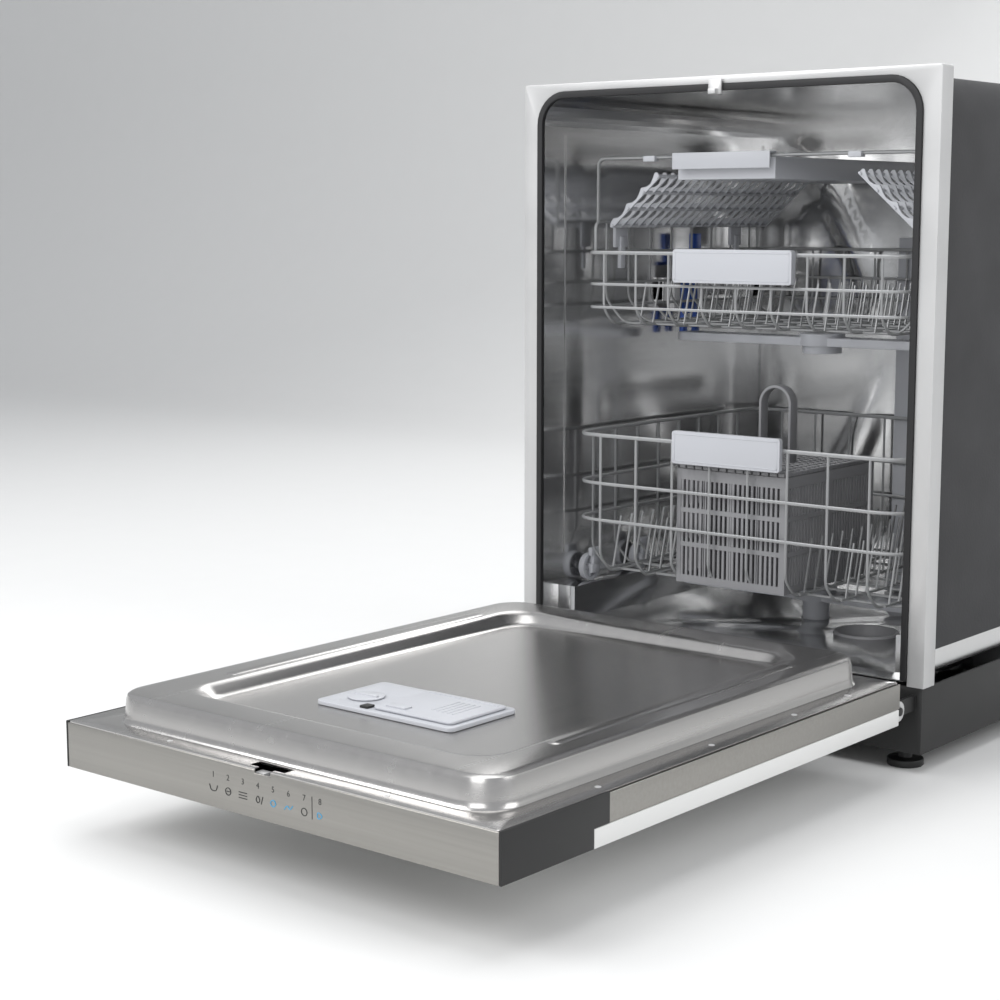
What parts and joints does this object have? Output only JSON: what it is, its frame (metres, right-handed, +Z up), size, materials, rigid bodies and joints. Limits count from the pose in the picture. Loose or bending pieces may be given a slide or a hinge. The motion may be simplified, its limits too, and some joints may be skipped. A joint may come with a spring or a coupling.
{
  "type": "built-in dishwasher",
  "caption": "Built-in dishwasher with a drop-down door, two sliding wire racks, a cutlery basket and two spray arms, drawn with its door open.",
  "frame": {"origin": "middle of the machine's box on the floor, with the door open and the racks in", "axes": "+Z up, +X to the right of someone facing the machine, -Y the way the door opens"},
  "size_m": [0.596, 1.2848, 0.818],
  "materials": {
    "stainless_tub": "bright rolled stainless sheet",
    "brushed_front": "long-grain brushed stainless",
    "galvanised": "zinc-coated sheet, satin",
    "panel_lacquer": "white satin lacquer on board",
    "white_plastic": "moulded, satin",
    "pale_grey_plastic": "moulded polypropylene, satin",
    "mid_grey_plastic": "moulded polypropylene, satin",
    "rack_coating": "nylon-coated wire, satin",
    "black_plastic": "moulded, fine texture",
    "seal_rubber": "matt extruded rubber",
    "bitumen_felt": "bitumen-backed felt, matt",
    "blue_plastic": "moulded, satin"
  },
  "bodies": {
    "root": {"tub_wrapper": "stainless_tub", "tub_back": "stainless_tub", "tub_floor": "stainless_tub", "front_frame": "galvanised", "inlet_valve": "white_plastic", "water_softener": "white_plastic", "riser_pipe": "pale_grey_plastic", "air_break_box": "pale_grey_plastic", "circulation_pump": "mid_grey_plastic", "drain_pump": "mid_grey_plastic", "vent_nut": "mid_grey_plastic", "base_tray": "black_plastic", "foot_front_left": "black_plastic", "foot_front_right": "black_plastic", "foot_rear_left": "black_plastic", "foot_rear_right": "black_plastic", "mains_gland": "black_plastic", "sump_body": "black_plastic", "tub_gasket": "seal_rubber", "insulation_blanket": "bitumen_felt"},
    "door": {"door_liner": "stainless_tub", "door_outer_shell": "brushed_front", "furniture_panel": "panel_lacquer", "control_console": "brushed_front", "end_cap_left": "black_plastic", "end_cap_right": "black_plastic", "hinge_arm_left": "galvanised", "hinge_arm_right": "galvanised", "dispenser_body": "pale_grey_plastic"},
    "latch": {"door_latch": "galvanised"},
    "dispenser_lid": {"dispenser_lid": "pale_grey_plastic"},
    "rinse_cap": {"rinse_aid_cap": "pale_grey_plastic"},
    "lower_rack": {"lower_rack_floor": "rack_coating", "lower_rack_walls": "rack_coating", "lower_rack_handle": "pale_grey_plastic", "cutlery_basket": "mid_grey_plastic", "basket_lid": "mid_grey_plastic"},
    "upper_rack": {"upper_rack_floor": "rack_coating", "upper_rack_walls": "rack_coating", "upper_rack_handle": "pale_grey_plastic", "utensil_tray": "pale_grey_plastic", "rack_rail_left": "stainless_tub", "rack_rail_right": "stainless_tub", "height_adjuster_left": "white_plastic", "height_adjuster_right": "white_plastic"},
    "lower_spray": {"lower_spray_arm": "pale_grey_plastic"},
    "upper_spray": {"upper_spray_arm": "pale_grey_plastic"},
    "filter": {"filter_cup": "mid_grey_plastic"},
    "shelf_left": {"cup_shelf_left": "pale_grey_plastic"},
    "shelf_right": {"cup_shelf_right": "pale_grey_plastic"},
    "lever_left": {"adjuster_lever_left": "blue_plastic"},
    "lever_right": {"adjuster_lever_right": "blue_plastic"},
    "wheel_left_1": {"wheel_left_1": "pale_grey_plastic"},
    "wheel_left_2": {"wheel_left_2": "pale_grey_plastic"},
    "wheel_left_3": {"wheel_left_3": "pale_grey_plastic"},
    "wheel_left_4": {"wheel_left_4": "pale_grey_plastic"},
    "wheel_right_1": {"wheel_right_1": "pale_grey_plastic"},
    "wheel_right_2": {"wheel_right_2": "pale_grey_plastic"},
    "wheel_right_3": {"wheel_right_3": "pale_grey_plastic"},
    "wheel_right_4": {"wheel_right_4": "pale_grey_plastic"}
  },
  "joints": [
    {"name": "door_hinge", "type": "hinge", "parent": "root", "child": "door", "pos_m": [0, 0.0845, 0.086], "axis": [1, 0, 0], "range_deg": [-90, 0]},
    {"name": "latch_slide", "type": "slide", "parent": "door", "child": "latch", "axis": [0, 0, 1], "range_m": [-0.004, 0], "stiffness_N_per_m": 400, "springref_m": 0.002},
    {"name": "dispenser_lid_slide", "type": "slide", "parent": "door", "child": "dispenser_lid", "axis": [0, -1, 0], "range_m": [-0.068, 0]},
    {"name": "rinse_cap_turn", "type": "hinge", "parent": "door", "child": "rinse_cap", "pos_m": [-0.062, -0.4315, 0.14], "axis": [0, 0, 1], "range_deg": [-90, 0]},
    {"name": "lower_rack_slide", "type": "slide", "parent": "root", "child": "lower_rack", "axis": [0, -1, 0], "range_m": [0, 0.59]},
    {"name": "upper_rack_slide", "type": "slide", "parent": "root", "child": "upper_rack", "axis": [0, -1, 0], "range_m": [0, 0.42]},
    {"name": "lower_spray_spin", "type": "hinge", "parent": "root", "child": "lower_spray", "pos_m": [0, 0.3865, 0.14], "axis": [0, 0, 1], "continuous": true},
    {"name": "upper_spray_spin", "type": "hinge", "parent": "upper_rack", "child": "upper_spray", "pos_m": [0, 0.3865, 0.48], "axis": [0, 0, 1], "continuous": true},
    {"name": "filter_twist", "type": "hinge", "parent": "root", "child": "filter", "pos_m": [0.104, 0.3385, 0.1], "axis": [0, 0, 1], "range_deg": [-90, 0]},
    {"name": "shelf_left_fold", "type": "hinge", "parent": "upper_rack", "child": "shelf_left", "pos_m": [-0.226, 0.4035, 0.636], "axis": [0, 1, 0], "range_deg": [-45, 0]},
    {"name": "shelf_right_fold", "type": "hinge", "parent": "upper_rack", "child": "shelf_right", "pos_m": [0.226, 0.4035, 0.636], "axis": [0, -1, 0], "range_deg": [-45, 0]},
    {"name": "lever_left_press", "type": "slide", "parent": "upper_rack", "child": "lever_left", "axis": [0, 0, 1], "range_m": [-0.005, 0], "stiffness_N_per_m": 400, "springref_m": 0.002},
    {"name": "lever_right_press", "type": "slide", "parent": "upper_rack", "child": "lever_right", "axis": [0, 0, 1], "range_m": [-0.005, 0], "stiffness_N_per_m": 400, "springref_m": 0.002},
    {"name": "wheel_left_1_roll", "type": "hinge", "parent": "lower_rack", "child": "wheel_left_1", "pos_m": [-0.255, 0.2135, 0.177], "axis": [1, 0, 0], "range_deg": [0, 1740]},
    {"name": "wheel_left_2_roll", "type": "hinge", "parent": "lower_rack", "child": "wheel_left_2", "pos_m": [-0.255, 0.3295, 0.177], "axis": [1, 0, 0], "range_deg": [0, 1740]},
    {"name": "wheel_left_3_roll", "type": "hinge", "parent": "lower_rack", "child": "wheel_left_3", "pos_m": [-0.255, 0.5015, 0.177], "axis": [1, 0, 0], "range_deg": [0, 1740]},
    {"name": "wheel_left_4_roll", "type": "hinge", "parent": "lower_rack", "child": "wheel_left_4", "pos_m": [-0.255, 0.6015, 0.177], "axis": [1, 0, 0], "range_deg": [0, 1740]},
    {"name": "wheel_right_1_roll", "type": "hinge", "parent": "lower_rack", "child": "wheel_right_1", "pos_m": [0.255, 0.2135, 0.177], "axis": [1, 0, 0], "range_deg": [0, 1740]},
    {"name": "wheel_right_2_roll", "type": "hinge", "parent": "lower_rack", "child": "wheel_right_2", "pos_m": [0.255, 0.3295, 0.177], "axis": [1, 0, 0], "range_deg": [0, 1740]},
    {"name": "wheel_right_3_roll", "type": "hinge", "parent": "lower_rack", "child": "wheel_right_3", "pos_m": [0.255, 0.5015, 0.177], "axis": [1, 0, 0], "range_deg": [0, 1740]},
    {"name": "wheel_right_4_roll", "type": "hinge", "parent": "lower_rack", "child": "wheel_right_4", "pos_m": [0.255, 0.6015, 0.177], "axis": [1, 0, 0], "range_deg": [0, 1740]}
  ],
  "couplings": [
    {"joint": "wheel_left_1_roll", "follows": "lower_rack_slide", "rad_per_m": 51.282},
    {"joint": "wheel_left_2_roll", "follows": "lower_rack_slide", "rad_per_m": 51.282},
    {"joint": "wheel_left_3_roll", "follows": "lower_rack_slide", "rad_per_m": 51.282},
    {"joint": "wheel_left_4_roll", "follows": "lower_rack_slide", "rad_per_m": 51.282},
    {"joint": "wheel_right_1_roll", "follows": "lower_rack_slide", "rad_per_m": 51.282},
    {"joint": "wheel_right_2_roll", "follows": "lower_rack_slide", "rad_per_m": 51.282},
    {"joint": "wheel_right_3_roll", "follows": "lower_rack_slide", "rad_per_m": 51.282},
    {"joint": "wheel_right_4_roll", "follows": "lower_rack_slide", "rad_per_m": 51.282}
  ]
}
